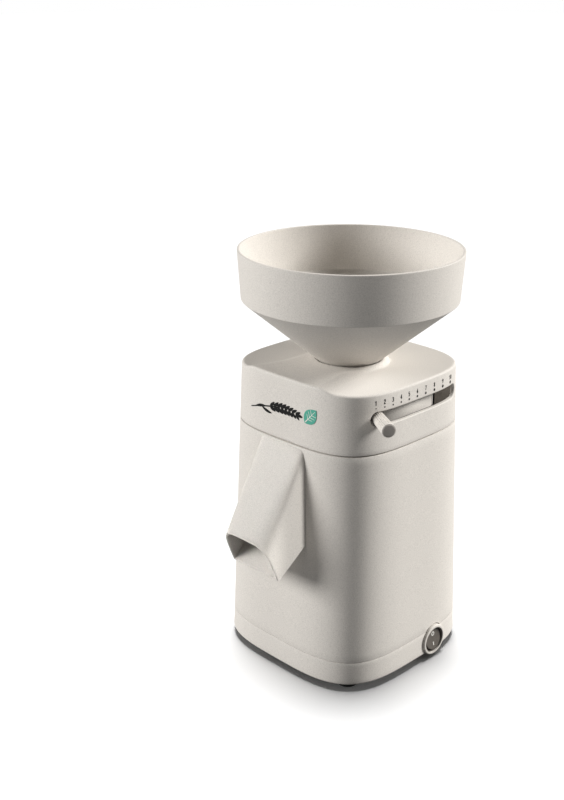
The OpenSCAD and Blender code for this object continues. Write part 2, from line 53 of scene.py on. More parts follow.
# ---- driving dimensions, as in the frame ----
FOOT_H = 6.0
TOP_Z = 270.0
HALF_LOW, HALF_HIGH = 89.0, 80.0
SEAM_Z = 218.0
PAN_Z = 28.0
SEAM_GAP = 0.6
WALL = 3.0
SQUARENESS = 3.6
HUMP_H = 3.5
COLLAR_R = 26.9
COLLAR_SEAT = [(31.2, 0.0), (30.3, 0.12), (29.7, 0.5), (28.9, 1.3), (27.9, 2.1), (27.1, 2.8),
               (26.9, 3.3)]  # radius and drop below the hump, parallel to the hopper's cone
EDGE_ROUND = 2.2
RIM_Z, RIM_R = 370.0, 96.6
EDGE_Z, EDGE_R = 327.5, 94.0
HOPPER_WALL = 2.5
SLOT_Z, SLOT_H, SLOT_HALF = 248.6, 12.0, 54.6
LEVER_DEG, LEVER_Z = -31.5, 248.6
SWITCH_Y, SWITCH_Z, SWITCH_X = 24.0, 17.5, 90.6
BOSS_R, SWITCH_R = 14.5, 12.0
ROCKER_X, ROCKER_R, ROCKER_TILT = 85.5, 10.25, 8.0
CORNER = 62.0
POST_R, WELL_R, SCREW_R = 6.5, 4.2, 2.1
INLET_RECESS = ((-25.3, 84.5, 33.2), (25.3, 97, 56.8))
INLET_HOLE = ((-14, 74, 34.8), (14, 90, 55.2))
BAND_R, BAND_LOW, BAND_TOP, BAND_CLIMB = 74.0, 236.0, 251.4, 4.4
LIMB_DEG, LIMB_TOP = 29.0, 255.9
SCREEN_DEG, SCREEN_OFF, SCREEN_FROM, SCREEN_TO = 30.5, 7.3, 75.2, 89.4
MARKS, MARK_START, MARK_STEP, MARK_GROWTH = 10, -50.2, 8.0, 0.275
DOT_Z, DIGIT_Z = 258.1, 260.9


# ---- mesh helpers ----

def lerp(a, b, t):
    return a + (b - a) * t


def clamp(t, low=0.0, high=1.0):
    return max(low, min(high, t))


def smoothstep(t):
    t = clamp(t)
    return t * t * (3 - 2 * t)


def new_mesh(name, verts, faces, body, material, sharp=32):
    """A piece from points in millimetres, shaded smooth but for edges sharper than sharp."""
    mesh = bpy.data.meshes.new(name)
    mesh.from_pydata([(x * MM, y * MM, z * MM) for x, y, z in verts], [], faces)
    obj = bpy.data.objects.new(name, mesh)
    bpy.context.scene.collection.objects.link(obj)
    fix_normals(obj)
    soften(obj, sharp)
    if material:
        mesh.materials.append(material)
    if body:
        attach(obj, body)
    return obj


def fix_normals(obj):
    bm = bmesh.new()
    bm.from_mesh(obj.data)
    bmesh.ops.recalc_face_normals(bm, faces=bm.faces)
    bm.to_mesh(obj.data)
    bm.free()


def soften(obj, sharp):
    obj.data.shade_smooth()
    obj.data.set_sharp_from_angle(angle=math.radians(sharp))


def ring_faces(rings, count, closed_stack=False):
    """Quads between consecutive rings of count points; closed_stack joins last to first."""
    faces = []
    last = rings if closed_stack else rings - 1
    for r in range(last):
        a, b = r * count, ((r + 1) % rings) * count
        for i in range(count):
            j = (i + 1) % count
            faces.append((a + i, a + j, b + j, b + i))
    return faces


def stack(name, rings, body, material, closed_stack=False, caps=False, sharp=32):
    """A piece from rings of points, each a closed loop of the same length."""
    count = len(rings[0])
    verts = [p for ring in rings for p in ring]
    faces = ring_faces(len(rings), count, closed_stack)
    if caps:
        faces.append(tuple(reversed(range(count))))
        faces.append(tuple(range((len(rings) - 1) * count, len(rings) * count)))
    return new_mesh(name, verts, faces, body, material, sharp)


def lathe(name, profile, body, material, count=128, sharp=32):
    """A solid of revolution about Z from a list of (radius, z)."""
    rings = [[(r * math.cos(TAU * i / count), r * math.sin(TAU * i / count), z)
              for i in range(count)] for r, z in profile]
    return stack(name, rings, body, material, closed_stack=True, sharp=sharp)


def arc(cx, cz, r, start, end, steps):
    """Points of an arc in a profile, angles in degrees."""
    out = []
    for i in range(steps + 1):
        a = math.radians(lerp(start, end, i / steps))
        out.append((cx + r * math.cos(a), cz + r * math.sin(a)))
    return out


def rounded(profile, radii, steps=5):
    """A closed profile whose corner i is rounded with radii[i]."""
    out = []
    n = len(profile)
    for i in range(n):
        p = Vector(profile[i])
        r = radii[i]
        if r <= 0:
            out.append(tuple(p))
            continue
        a = (Vector(profile[i - 1]) - p)
        b = (Vector(profile[(i + 1) % n]) - p)
        half_angle = a.angle(b) / 2
        cut = min(r / math.tan(half_angle), a.length * 0.45, b.length * 0.45)
        p0, p1 = p + a.normalized() * cut, p + b.normalized() * cut
        for k in range(steps + 1):
            t = k / steps
            q = p0 * (1 - t) ** 2 + p * (2 * t * (1 - t)) + p1 * t ** 2
            out.append(tuple(q))
    return out


def transformed(rings, matrix):
    return [[tuple(matrix @ Vector(p)) for p in ring] for ring in rings]


def round_outline(r, count=24):
    return [(r * math.cos(TAU * i / count), r * math.sin(TAU * i / count)) for i in range(count)]


def boolean(obj, cutter, operation):
    """Join, or cut with, another piece, which is used up."""
    mod = obj.modifiers.new("cut", "BOOLEAN")
    mod.operation = operation
    mod.solver = "EXACT"
    mod.object = cutter
    bpy.context.view_layer.update()
    graph = bpy.context.evaluated_depsgraph_get()
    result = bpy.data.meshes.new_from_object(obj.evaluated_get(graph))
    obj.modifiers.clear()
    old = obj.data
    obj.data = result
    bpy.data.meshes.remove(old)
    bpy.data.objects.remove(cutter)


# ---- procedural materials ----

def node_material(name):
    mat = bpy.data.materials.new(name)
    mat.use_nodes = True
    tree = mat.node_tree
    bsdf = tree.nodes["Principled BSDF"]
    coord = tree.nodes.new("ShaderNodeTexCoord")
    return mat, tree, bsdf, coord.outputs["Object"]


def add_noise(tree, vector, scale, detail=2.0, rough=0.5):
    node = tree.nodes.new("ShaderNodeTexNoise")
    node.inputs["Scale"].default_value = scale
    node.inputs["Detail"].default_value = detail
    node.inputs["Roughness"].default_value = rough
    tree.links.new(vector, node.inputs["Vector"])
    return node.outputs["Fac"]


def add_ramp(tree, fac, stops):
    node = tree.nodes.new("ShaderNodeValToRGB")
    ramp = node.color_ramp
    ramp.elements[0].position, ramp.elements[0].color = stops[0][0], rgba(stops[0][1])
    ramp.elements[1].position, ramp.elements[1].color = stops[-1][0], rgba(stops[-1][1])
    for place, colour in stops[1:-1]:
        ramp.elements.new(place).color = rgba(colour)
    tree.links.new(fac, node.inputs["Fac"])
    return node.outputs["Color"]


def rgba(colour):
    if isinstance(colour, (int, float)):
        colour = (colour, colour, colour)
    return (*colour, 1.0)


def shade(colour, factor):
    return tuple(clamp(c * factor) for c in colour)


def add_bump(tree, bsdf, height, strength, distance, previous=None):
    node = tree.nodes.new("ShaderNodeBump")
    node.inputs["Strength"].default_value = strength
    node.inputs["Distance"].default_value = distance
    tree.links.new(height, node.inputs["Height"])
    if previous:
        tree.links.new(previous, node.inputs["Normal"])
    tree.links.new(node.outputs["Normal"], bsdf.inputs["Normal"])
    return node.outputs["Normal"]


def moulded(name, colour, rough=0.5, speck=0.05, grain=1400, bump=0.25, specular=0.5):
    """Moulded plastic: speckled colour, fine erosion grain and slightly uneven gloss."""
    mat, tree, bsdf, vector = node_material(name)
    fine = add_noise(tree, vector, grain, 2.0, 0.6)
    colour_out = add_ramp(tree, fine, [(0.28, shade(colour, 1 - 1.6 * speck)),
                                       (0.46, shade(colour, 1 - 0.3 * speck)),
                                       (0.72, shade(colour, 1 + speck))])
    tree.links.new(colour_out, bsdf.inputs["Base Color"])
    cloud = add_noise(tree, vector, 45, 3.0)
    rough_out = add_ramp(tree, cloud, [(0.3, rough - 0.03), (0.7, rough + 0.04)])
    tree.links.new(rough_out, bsdf.inputs["Roughness"])
    add_bump(tree, bsdf, fine, bump, 0.00012)
    bsdf.inputs["Specular IOR Level"].default_value = specular
    return mat


def metal(name, colour, rough=0.3, grain=900, stretch=(1, 1, 1), bump=0.1, cast=False):
    """Bare metal: brushed, turned or blasted, by how the noise is stretched."""
    mat, tree, bsdf, vector = node_material(name)
    mapping = tree.nodes.new("ShaderNodeMapping")
    mapping.inputs["Scale"].default_value = stretch
    tree.links.new(vector, mapping.inputs["Vector"])
    grain_out = add_noise(tree, mapping.outputs["Vector"], grain, 3.0, 0.6)
    colour_out = add_ramp(tree, grain_out, [(0.3, shade(colour, 0.86)), (0.7, shade(colour, 1.1))])
    rough_out = add_ramp(tree, grain_out, [(0.25, rough - 0.06), (0.75, rough + 0.1)])
    tree.links.new(colour_out, bsdf.inputs["Base Color"])
    tree.links.new(rough_out, bsdf.inputs["Roughness"])
    bsdf.inputs["Metallic"].default_value = 1.0
    add_bump(tree, bsdf, grain_out, 0.5 if cast else bump, 0.0002 if cast else 0.00008)
    return mat


def banded(name, light, dark, pitch, metallic, rough):
    """Stacked or wound stock: fine bands along Z, with noise breaking them up."""
    mat, tree, bsdf, vector = node_material(name)
    wave = tree.nodes.new("ShaderNodeTexWave")
    wave.bands_direction = "Z"
    wave.inputs["Scale"].default_value = 3.14 / pitch
    wave.inputs["Distortion"].default_value = 0.6
    wave.inputs["Detail"].default_value = 1.5
    tree.links.new(vector, wave.inputs["Vector"])
    colour_out = add_ramp(tree, wave.outputs["Fac"], [(0.1, dark), (0.6, light)])
    tree.links.new(colour_out, bsdf.inputs["Base Color"])
    bsdf.inputs["Metallic"].default_value = metallic
    bsdf.inputs["Roughness"].default_value = rough
    add_bump(tree, bsdf, wave.outputs["Fac"], 0.5, 0.0002)
    return mat


def stone(name, colour):
    """Corundum grit in a ceramic bond: pale grains of several sizes and tiny pores."""
    mat, tree, bsdf, vector = node_material(name)
    cells = tree.nodes.new("ShaderNodeTexVoronoi")
    cells.inputs["Scale"].default_value = 900
    tree.links.new(vector, cells.inputs["Vector"])
    grit = add_noise(tree, vector, 700, 4.0, 0.7)
    tone = add_ramp(tree, cells.outputs["Distance"],
                    [(0.1, shade(colour, 1.12)), (0.75, shade(colour, 0.72))])
    tree.links.new(tone, bsdf.inputs["Base Color"])
    bsdf.inputs["Roughness"].default_value = 0.85
    first = add_bump(tree, bsdf, cells.outputs["Distance"], 0.6, 0.0003)
    add_bump(tree, bsdf, grit, 0.5, 0.0003, first)
    return mat


def felt(name, colour):
    """Pressed wool: tangled fibres and a soft sheen."""
    mat, tree, bsdf, vector = node_material(name)
    fibre = add_noise(tree, vector, 1600, 5.0, 0.75)
    tone = add_ramp(tree, fibre, [(0.3, shade(colour, 0.7)), (0.7, shade(colour, 1.15))])
    tree.links.new(tone, bsdf.inputs["Base Color"])
    bsdf.inputs["Roughness"].default_value = 0.95
    bsdf.inputs["Sheen Weight"].default_value = 0.4
    add_bump(tree, bsdf, fibre, 0.8, 0.0005)
    return mat


SHELL = (0.63, 0.60, 0.56)
MATERIALS = {
    "shell_plastic": moulded("shell_plastic", SHELL, 0.6, 0.11, 1300, 0.4, specular=0.3),
    "cap_plastic": moulded("cap_plastic", (0.33, 0.305, 0.28), 0.5, 0.08, 1600, 0.3),
    "dark_plastic": moulded("dark_plastic", (0.03, 0.028, 0.026), 0.48, 0.15, 1400, 0.3),
    "switch_plastic": moulded("switch_plastic", (0.105, 0.093, 0.08), 0.3, 0.08, 1800, 0.12),
    "badge_plastic": moulded("badge_plastic", (0.075, 0.36, 0.27), 0.38, 0.06, 1500, 0.1),
    "rubber": moulded("rubber", (0.025, 0.025, 0.026), 0.72, 0.25, 900, 0.5),
    "felt": felt("felt", (0.62, 0.58, 0.48)),
    "cast_alloy": metal("cast_alloy", (0.60, 0.61, 0.62), 0.45, 700, (1, 1, 1), cast=True),
    "rotor_alloy": metal("rotor_alloy", (0.66, 0.67, 0.68), 0.38, 800, (1, 1, 1), cast=True),
    "bronze": metal("bronze", (0.62, 0.43, 0.2), 0.32, 900, (1, 1, 6)),
    "ceramic_stone": stone("ceramic_stone", (0.58, 0.55, 0.49)),
    "lamination_steel": banded("lamination_steel", (0.36, 0.36, 0.38), (0.12, 0.12, 0.13),
                               0.0006, 1.0, 0.42),
    "copper_winding": banded("copper_winding", (0.62, 0.24, 0.09), (0.2, 0.07, 0.03),
                             0.0011, 0.7, 0.35),
    "steel": metal("steel", (0.60, 0.60, 0.61), 0.26, 900, (1, 1, 5)),
    "contact_metal": metal("contact_metal", (0.68, 0.58, 0.36), 0.28, 900, (1, 6, 1)),
    "capacitor_can": metal("capacitor_can", (0.72, 0.72, 0.73), 0.3, 700, (1, 8, 1)),
    "terminal_plastic": moulded("terminal_plastic", (0.6, 0.58, 0.52), 0.5, 0.04, 1200, 0.2),
    "brown_wire": moulded("brown_wire", (0.15, 0.07, 0.03), 0.42, 0.06, 900, 0.1),
    "blue_wire": moulded("blue_wire", (0.04, 0.13, 0.42), 0.42, 0.06, 900, 0.1),
    "green_wire": moulded("green_wire", (0.1, 0.36, 0.08), 0.42, 0.06, 900, 0.1),
}
PLASTIC = MATERIALS["shell_plastic"]
INK = moulded("scale_ink", (0.008, 0.008, 0.008), 0.5, 0.2, 1500, 0.15, specular=0.15)
PALE_INK = moulded("pale_ink", (0.75, 0.74, 0.7), 0.5, 0.05, 1500, 0.1)
SHUTTER = moulded("shutter_plastic", (0.27, 0.24, 0.21), 0.55, 0.12, 1500, 0.3)


# ---- the housing's form ----

def half(z):
    return lerp(HALF_LOW, HALF_HIGH, (z - FOOT_H) / (TOP_Z - FOOT_H))


def outline_radius(angle):
    """Distance from the axis to a unit superellipse in a direction."""
    n = SQUARENESS
    return (abs(math.cos(angle)) ** n + abs(math.sin(angle)) ** n) ** (-1 / n)


def outline(z, inset=0.0, count=256):
    """The housing's outline as a ring at height z, drawn in by inset."""
    h = half(z) - inset
    return [(h * outline_radius(TAU * i / count) * math.cos(TAU * i / count),
             h * outline_radius(TAU * i / count) * math.sin(TAU * i / count), z)
            for i in range(count)]


def face_depth(across, h):
    """How far the housing's face lies from the axis plane at a distance across it."""
    n = SQUARENESS
    return h * (1 - min(0.999, abs(across) / h) ** n) ** (1 / n)


def hump(x, y):
    """Height of the hump round the collar, which runs out over the front edge.

    Half of it is left at a distance of middle from its centre line, and its sides fall
    away over flank to both sides of that.
    """
    forward = max(0.0, -y)
    middle = 34.0 + 14.0 * clamp((forward - 30) / 50) ** 2
    flank = 2.6 + 7.0 * clamp(forward / 80)
    across = abs(x) if y < 0 else math.hypot(x, y)
    return HUMP_H * smoothstep((middle + flank - across) / (2 * flank))


def upper_shell():
    count = 288
    rings = []

    def wall_ring(inset, z):
        return outline(z, inset, count)

    def top_ring(inset, drop):
        """A ring near the top edge, which follows the hump."""
        ring = []
        for i in range(count):
            a = TAU * i / count
            r = (half(TOP_Z) - inset) * outline_radius(a)
            x, y = r * math.cos(a), r * math.sin(a)
            ring.append((x, y, TOP_Z + hump(x, y) - drop))
        return ring

    def blend_ring(t, r_in):
        """A ring of the top between the edge and the collar."""
        ring = []
        for i in range(count):
            a = TAU * i / count
            outer = (half(TOP_Z) - EDGE_ROUND) * outline_radius(a)
            r = lerp(outer, r_in, t)
            x, y = r * math.cos(a), r * math.sin(a)
            ring.append((x, y, TOP_Z + hump(x, y)))
        return ring

    # outer wall, from the parting line up
    low = SEAM_Z + SEAM_GAP
    rings += [wall_ring(0.5, low), wall_ring(0.15, low + 0.12), wall_ring(0.0, low + 0.5)]
    rings += [wall_ring(0.0, lerp(low + 0.5, TOP_Z - 6, (i + 1) / 14)) for i in range(14)]
    # rounded top edge
    steps = 7
    for i in range(steps + 1):
        a = math.pi / 2 * i / steps
        rings.append(top_ring(EDGE_ROUND * (1 - math.cos(a)), EDGE_ROUND * (1 - math.sin(a))))
    # top face, in to the collar
    inner = COLLAR_SEAT[0][0]
    rings += [blend_ring((i + 1) / 34, inner) for i in range(34)]
    rings += [collar_ring(r, drop, count) for r, drop in COLLAR_SEAT[1:]]
    rings.append(collar_ring(COLLAR_R, WALL + 1.5, count))
    # underside and inner wall
    for i in range(9):
        t = i / 8
        ring = []
        for k in range(count):
            a = TAU * k / count
            outer = (half(TOP_Z) - WALL - 1.5) * outline_radius(a)
            r = lerp(COLLAR_R + 1.5, outer, t)
            x, y = r * math.cos(a), r * math.sin(a)
            ring.append((x, y, TOP_Z + hump(x, y) * (1 - t) - WALL))
        rings.append(ring)
    rings += [wall_ring(WALL, TOP_Z - WALL - 1.5), wall_ring(WALL, SEAM_Z + SEAM_GAP)]
    obj = stack("upper_shell", rings, None, PLASTIC, closed_stack=True)
    boolean(obj, slot_cutter(), "DIFFERENCE")
    soften(obj, 32)
    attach(obj, "housing")
    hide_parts("upper_housing")
    return obj


def collar_ring(r, drop, count):
    """A circle round the neck's opening that follows the hump at a drop below it."""
    ring = []
    for i in range(count):
        a = TAU * i / count
        x, y = r * math.cos(a), r * math.sin(a)
        ring.append((x, y, TOP_Z + hump(x, y) - drop))
    return ring


def slot_outline(grow, per_end=16, per_side=40):
    """The lever slot's outline in (y, z), grown outwards."""
    r = SLOT_H / 2 + grow
    straight = SLOT_HALF - SLOT_H / 2
    points = []
    for sign in (1, -1):
        for i in range(per_end + 1):
            a = math.radians(-90 * sign + 180 * i / per_end)
            points.append((sign * straight + r * math.cos(a), SLOT_Z + r * math.sin(a)))
        for i in range(1, per_side):
            t = i / per_side
            points.append((lerp(sign * straight, -sign * straight, t), SLOT_Z + sign * r))
    return points


def slot_cutter():
    """A cutter that widens into a round edge where it leaves the wall."""
    r = 1.1
    levels = [(-4.0, r), (-0.02, r)]
    for i in range(1, 7):
        a = math.pi / 2 * i / 6
        levels.append((r * (1 - math.cos(a)), r * (1 - math.sin(a))))
    levels += [(4.2, 0.0), (8.0, 0.0)]
    rings = []
    for depth, grow in levels:
        ring = []
        for y, z in slot_outline(grow):
            h = half(z)
            x = face_depth(y, h)
            slope = (abs(y) / x) ** (SQUARENESS - 1)
            normal = Vector((1.0, math.copysign(slope, y), 0.0)).normalized()
            p = Vector((x, y, z)) - depth * normal
            ring.append(tuple(p))
        rings.append(ring)
    return stack("slot_cutter", rings, None, None, caps=True)


# ---- lower housing and spout ----

MOUTH_TILT = math.radians(112.6)
MOUTH_FOOT = Vector((0, -112.5, 106.4))
MOUTH_UP = Vector((0, math.cos(MOUTH_TILT), math.sin(MOUTH_TILT)))
MOUTH_OUT = Vector((0, -math.sin(MOUTH_TILT), math.cos(MOUTH_TILT)))
MOUTH_HALF, MOUTH_LEN = 28.0, 38.6
SPOUT_LOW_Z, SPOUT_TOP_Z = 131.0, 215.7
SPOUT_HALF_LOW, SPOUT_HALF_TOP = 31.0, 26.8
SPOUT_WALL = 2.2


def arch_point(angle, w, h, n):
    """A point of a half superellipse over a flat foot, angle 0 to pi."""
    c, s = math.cos(angle), math.sin(angle)
    r = (abs(c) ** n + abs(s) ** n) ** (-1 / n)
    return w * r * c, h * r * s


def spout_angles(arch=96, floor=24):
    """Parameters of the closed loop: the arch, then the flat floor back to its start."""
    return [("arch", math.pi * i / arch) for i in range(arch + 1)] + \
           [("floor", i / floor) for i in range(1, floor)]


def spout_loop(place, inset, depth=0.0, reach=0.0):
    """One loop of the spout: place 0 on the housing's face, 1 on the mouth's plane."""
    loop = []
    for kind, value in spout_angles():
        if kind == "arch":
            bx, bz = arch_point(value, 1.0, 1.0, 14.0)
            mx, mz = arch_point(value, MOUTH_HALF - inset, MOUTH_LEN - 2 * inset, 4.26)
        else:
            bx, bz = lerp(-1.0, 1.0, value), 0.0
            mx, mz = lerp(-1.0, 1.0, value) * (MOUTH_HALF - inset), 0.0
        low, top = SPOUT_LOW_Z + inset, SPOUT_TOP_Z - inset
        z = lerp(low, top, bz)
        x = bx * (lerp(SPOUT_HALF_LOW, SPOUT_HALF_TOP, bz) - inset)
        foot = Vector((x, -face_depth(x, half(z)) + depth, z))
        mouth = MOUTH_FOOT + reach * MOUTH_OUT + MOUTH_UP * (mz + inset) + Vector((mx, 0, 0))
        loop.append(tuple(foot.lerp(mouth, place)))
    return loop


def spout_shell():
    """The hood as a tube with a rounded lip, whose back end sits inside the housing wall."""
    steps = 26
    back = 1.6
    rings = [spout_loop(0.0, 0.0, back)]
    rings += [spout_loop(i / steps, 0.0) for i in range(steps + 1)]
    r = SPOUT_WALL / 2
    for i in range(1, 8):
        a = math.pi * i / 8
        rings.append(spout_loop(1.0, r * (1 - math.cos(a)), reach=r * math.sin(a)))
    rings += [spout_loop(1 - i / steps, SPOUT_WALL) for i in range(steps + 1)]
    rings.append(spout_loop(0.0, SPOUT_WALL, back))
    hood = stack("spout_hood", rings, "housing", PLASTIC, closed_stack=True)
    return hood


def spout_hole():
    """What the spout's cavity takes out of the housing wall."""
    rings = [spout_loop(0.0, SPOUT_WALL + 0.01, 5.0), spout_loop(0.0, SPOUT_WALL + 0.01, -1.0)]
    return stack("spout_hole", rings, None, None, caps=True)


def lower_shell():
    count = 288
    rings = []
    low, top = PAN_Z + 0.12, SEAM_Z - SEAM_GAP
    for z, inset in ((low, 0.3), (low + 0.1, 0.08), (low + 0.35, 0.0)):
        rings.append(outline(z, inset, count))
    rings += [outline(lerp(low + 0.35, top - 0.5, (i + 1) / 26), 0.0, count) for i in range(26)]
    rings += [outline(top - 0.12, 0.15, count), outline(top, 0.5, count)]
    rings += [outline(top, WALL - 0.2, count), outline(SEAM_Z + 3.5, WALL, count)]
    rings += [outline(SEAM_Z + 3.5, WALL + 1.8, count), outline(SEAM_Z - 10, WALL + 1.8, count)]
    rings += [outline(SEAM_Z - 12, WALL, count), outline(low, WALL, count)]
    obj = stack("lower_shell", rings, None, PLASTIC, closed_stack=True)
    boolean(obj, spout_hole(), "DIFFERENCE")
    boolean(obj, bar_cutter("boss_cut", BOSS_R + 0.8, 70, 104), "DIFFERENCE")
    boolean(obj, box_cutter("inlet_cut", *INLET_RECESS), "DIFFERENCE")
    boolean(obj, box_cutter("inlet_hole", *INLET_HOLE), "DIFFERENCE")
    soften(obj, 32)
    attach(obj, "housing")
    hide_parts("lower_housing")
    return obj


def box_cutter(name, low, high):
    (x0, y0, z0), (x1, y1, z1) = low, high
    ring = [(x0, y0), (x1, y0), (x1, y1), (x0, y1)]
    return stack(name, [[(x, y, z0) for x, y in ring], [(x, y, z1) for x, y in ring]],
                 None, None, caps=True)


def bar_rings(profile, count=64):
    """Rings round the switch axis from a list of (radius, x)."""
    return [[(x, SWITCH_Y + r * math.cos(TAU * i / count), SWITCH_Z + r * math.sin(TAU * i / count))
             for i in range(count)] for r, x in profile]


def bar_cutter(name, r, x0, x1):
    return stack(name, bar_rings([(r, x0), (r, x1)]), None, None, caps=True)


def base_shell():
    """The pan: rounded lower edge, locating lip, switch boss, screw wells and air slots."""
    count = 288
    r, middle = 2.5, 40
    floor_top, top = FOOT_H + 3, PAN_Z - 0.12
    rings = [outline(FOOT_H, middle, count), outline(FOOT_H, 8, count)]
    for i in range(7):
        a = math.pi / 2 * i / 6
        rings.append(outline(FOOT_H + r * (1 - math.cos(a)), r * (1 - math.sin(a)), count))
    rings += [outline(lerp(FOOT_H + r, top - 0.35, (i + 1) / 6), 0.0, count) for i in range(6)]
    rings += [outline(top - 0.1, 0.08, count), outline(top, 0.3, count)]
    rings += [outline(top, WALL - 0.2, count), outline(PAN_Z + 4.5, WALL, count)]
    rings += [outline(PAN_Z + 4.5, WALL + 1.8, count), outline(PAN_Z - 6, WALL + 1.8, count)]
    rings += [outline(floor_top, WALL, count), outline(floor_top, middle, count)]
    obj = stack("base_shell", rings, None, PLASTIC, caps=True)
    boolean(obj, switch_boss(), "UNION")
    boolean(obj, bar_cutter("bore_cut", SWITCH_R + 0.15, 70, 120), "DIFFERENCE")
    for x, y in corners(CORNER):
        boolean(obj, post("screw_post", x, y, POST_R, FOOT_H + 1, PAN_Z - 0.1), "UNION")
        boolean(obj, post("screw_well", x, y, WELL_R, FOOT_H - 2, FOOT_H + 6), "DIFFERENCE")
        boolean(obj, post("screw_hole", x, y, SCREW_R, FOOT_H, PAN_Z + 2), "DIFFERENCE")
    for i in range(-4, 5):
        air_slot = rounded_slot("air_slot", i * 8.0, 2.5, 26.0, FOOT_H - 1, FOOT_H + 4)
        boolean(obj, air_slot, "DIFFERENCE")
    soften(obj, 32)
    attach(obj, "housing")
    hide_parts("base_pan")
    return obj


def corners(d):
    return [(sx * d, sy * d) for sx in (-1, 1) for sy in (-1, 1)]


def post(name, x, y, r, z0, z1):
    ring = [(x + px, y + py) for px, py in round_outline(r, 48)]
    return stack(name, [[(u, v, z) for u, v in ring] for z in (z0, z1)], None, PLASTIC, caps=True)


def rounded_slot(name, x, half_w, half_len, z0, z1):
    ring = []
    for sign in (1, -1):
        for i in range(13):
            a = math.radians((0 if sign > 0 else 180) + 15 * i)
            y = sign * (half_len - half_w) + half_w * math.sin(a)
            ring.append((x + half_w * math.cos(a), y))
    return stack(name, [[(u, v, z) for u, v in ring] for z in (z0, z1)], None, None, caps=True)


def switch_boss():
    r = 1.2
    profile = [(SWITCH_R - 1, 76.0), (BOSS_R, 76.0)]
    profile += [(BOSS_R - r + r * math.cos(a), SWITCH_X - r + r * math.sin(a))
                for a in (math.pi / 2 * i / 6 for i in range(7))]
    profile += [(SWITCH_R - 1, SWITCH_X)]
    boss = stack("switch_boss", bar_rings(profile, 96), None, PLASTIC, closed_stack=True)
    boolean(boss, box_cutter("boss_trim", (70, 0, 0), (84, 50, FOOT_H)), "DIFFERENCE")
    return boss


shells = [upper_shell(), lower_shell(), base_shell()]
hood = spout_shell()


# ---- hopper ----

def hopper_bowl():
    neck_r, neck_z, foot_z = 26.0, 270.2, 251.1
    bore_r, groove_r, groove_low, groove_high = 23.4, 24.6, 253, 257
    w = HOPPER_WALL
    profile = rounded(
        [(bore_r, foot_z), (neck_r, foot_z), (neck_r, neck_z + 0.6), (EDGE_R - 0.2, EDGE_Z),
         (RIM_R, RIM_Z), (RIM_R - w, RIM_Z), (EDGE_R - w - 0.3, EDGE_Z + 0.9),
         (bore_r, neck_z + 1.2), (bore_r, groove_high), (groove_r, groove_high),
         (groove_r, groove_low), (bore_r, groove_low)],
        [0.3, 0.5, 2.5, 1.1, 1.1, 1.1, 1.4, 2.0, 0, 0, 0, 0], 6)
    bowl = lathe("hopper_bowl", profile, "hopper", PLASTIC, 256, 32)
    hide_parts("hopper")
    return bowl


hopper_bowl()


# ---- lever and adjusting ring ----

LEVER_FRAME = Matrix.Rotation(math.radians(LEVER_DEG), 4, "Z") @ Matrix.Translation((0, 0, LEVER_Z))


def lever_rings(profile, count=96, flutes=0, depth=0.0):
    """Rings round the lever's axis from a list of (radius, distance out)."""
    rings = []
    for r, out in profile:
        ring = []
        for i in range(count):
            a = TAU * i / count
            groove = depth * max(0.0, math.cos(a * flutes)) ** 3 if flutes else 0.0
            ring.append((out, (r - groove) * math.cos(a), (r - groove) * math.sin(a)))
        rings.append(ring)
    return transformed(rings, LEVER_FRAME)


def lever_grip():
    """The sleeve: a slightly flared tube with fine flutes, and a plain rounded end."""
    near, far, r0, r1 = 74.6, 116.5, 5.2, 5.95
    plain = [(3.1, near), (r0 - 0.4, near), (r0, near + 0.4)]
    fluted = [(lerp(r0, r1, t / 12), lerp(near + 1.5, far - 2.2, t / 12)) for t in range(13)]
    end = [(r1, far - 1.6)] + arc(r1 - 0.45, far - 0.45, 0.45, 0, 90, 5)
    mouth = [(5.35, far), (5.25, far - 0.15), (5.25, 115.3), (3.1, 114.6)]
    rings = lever_rings(plain, 168) + lever_rings(fluted, 168, 21, 0.42)
    rings += lever_rings(end + mouth, 168)
    grip = stack("lever_grip", rings, "adjuster", PLASTIC, closed_stack=True, sharp=40)
    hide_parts("lever_sleeve")


def lever_end():
    """The grey cap let into the sleeve's end, faintly domed."""
    back, front, r, face_r, dome = 115.35, 117.0, 5.15, 4.9, 0.12
    profile = [(0.6, back), (r, back), (r, front - 0.25), (face_r, front)]
    profile += [(face_r * (1 - t / 6), front + dome * (t / 6)) for t in range(1, 6)]
    rings = lever_rings(profile, 96)
    cap = stack("lever_end", rings, "adjuster", MATERIALS["cap_plastic"], caps=True, sharp=50)
    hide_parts("lever_cap")


def swept_band(name, sections, material):
    """A piece swept round Z from closed (radius, z) loops, each at an angle in degrees."""
    rings = []
    for angle, loop in sections:
        a = math.radians(angle)
        rings.append([(r * math.cos(a), r * math.sin(a), z) for r, z in loop])
    return stack(name, rings, "adjuster", material, caps=True, sharp=38)


def band_loop(r0, r1, z0, z1, edge=0.35):
    return rounded([(r0, z0), (r1, z0), (r1, z1), (r0, z1)], [0.1, edge, edge, 0.1], 3)


def ring_band():
    """The light band seen in the slot; its top climbs to the limb that closes it."""
    start = LEVER_DEG - 34
    sections = []
    for i in range(121):
        angle = lerp(start, LIMB_DEG, i / 120)
        climb = smoothstep((angle - (LIMB_DEG - 27)) / 20)
        loop = band_loop(BAND_R - 1.2, BAND_R + 0.5, BAND_LOW, BAND_TOP + BAND_CLIMB * climb)
        sections.append((angle, loop))
    band = swept_band("ring_band", sections, PLASTIC)
    limb = []
    for i in range(13):
        t = i / 12
        swell = math.sin(math.pi * t) ** 0.6 if 0 < t < 1 else 0.0
        limb.append((lerp(LIMB_DEG - 1.6, LIMB_DEG + 0.5, t),
                     band_loop(BAND_R - 1.0, BAND_R + 0.45 + 0.75 * swell, BAND_LOW, LIMB_TOP,
                               0.5)))
    obj = swept_band("ring_limb", limb, PLASTIC)


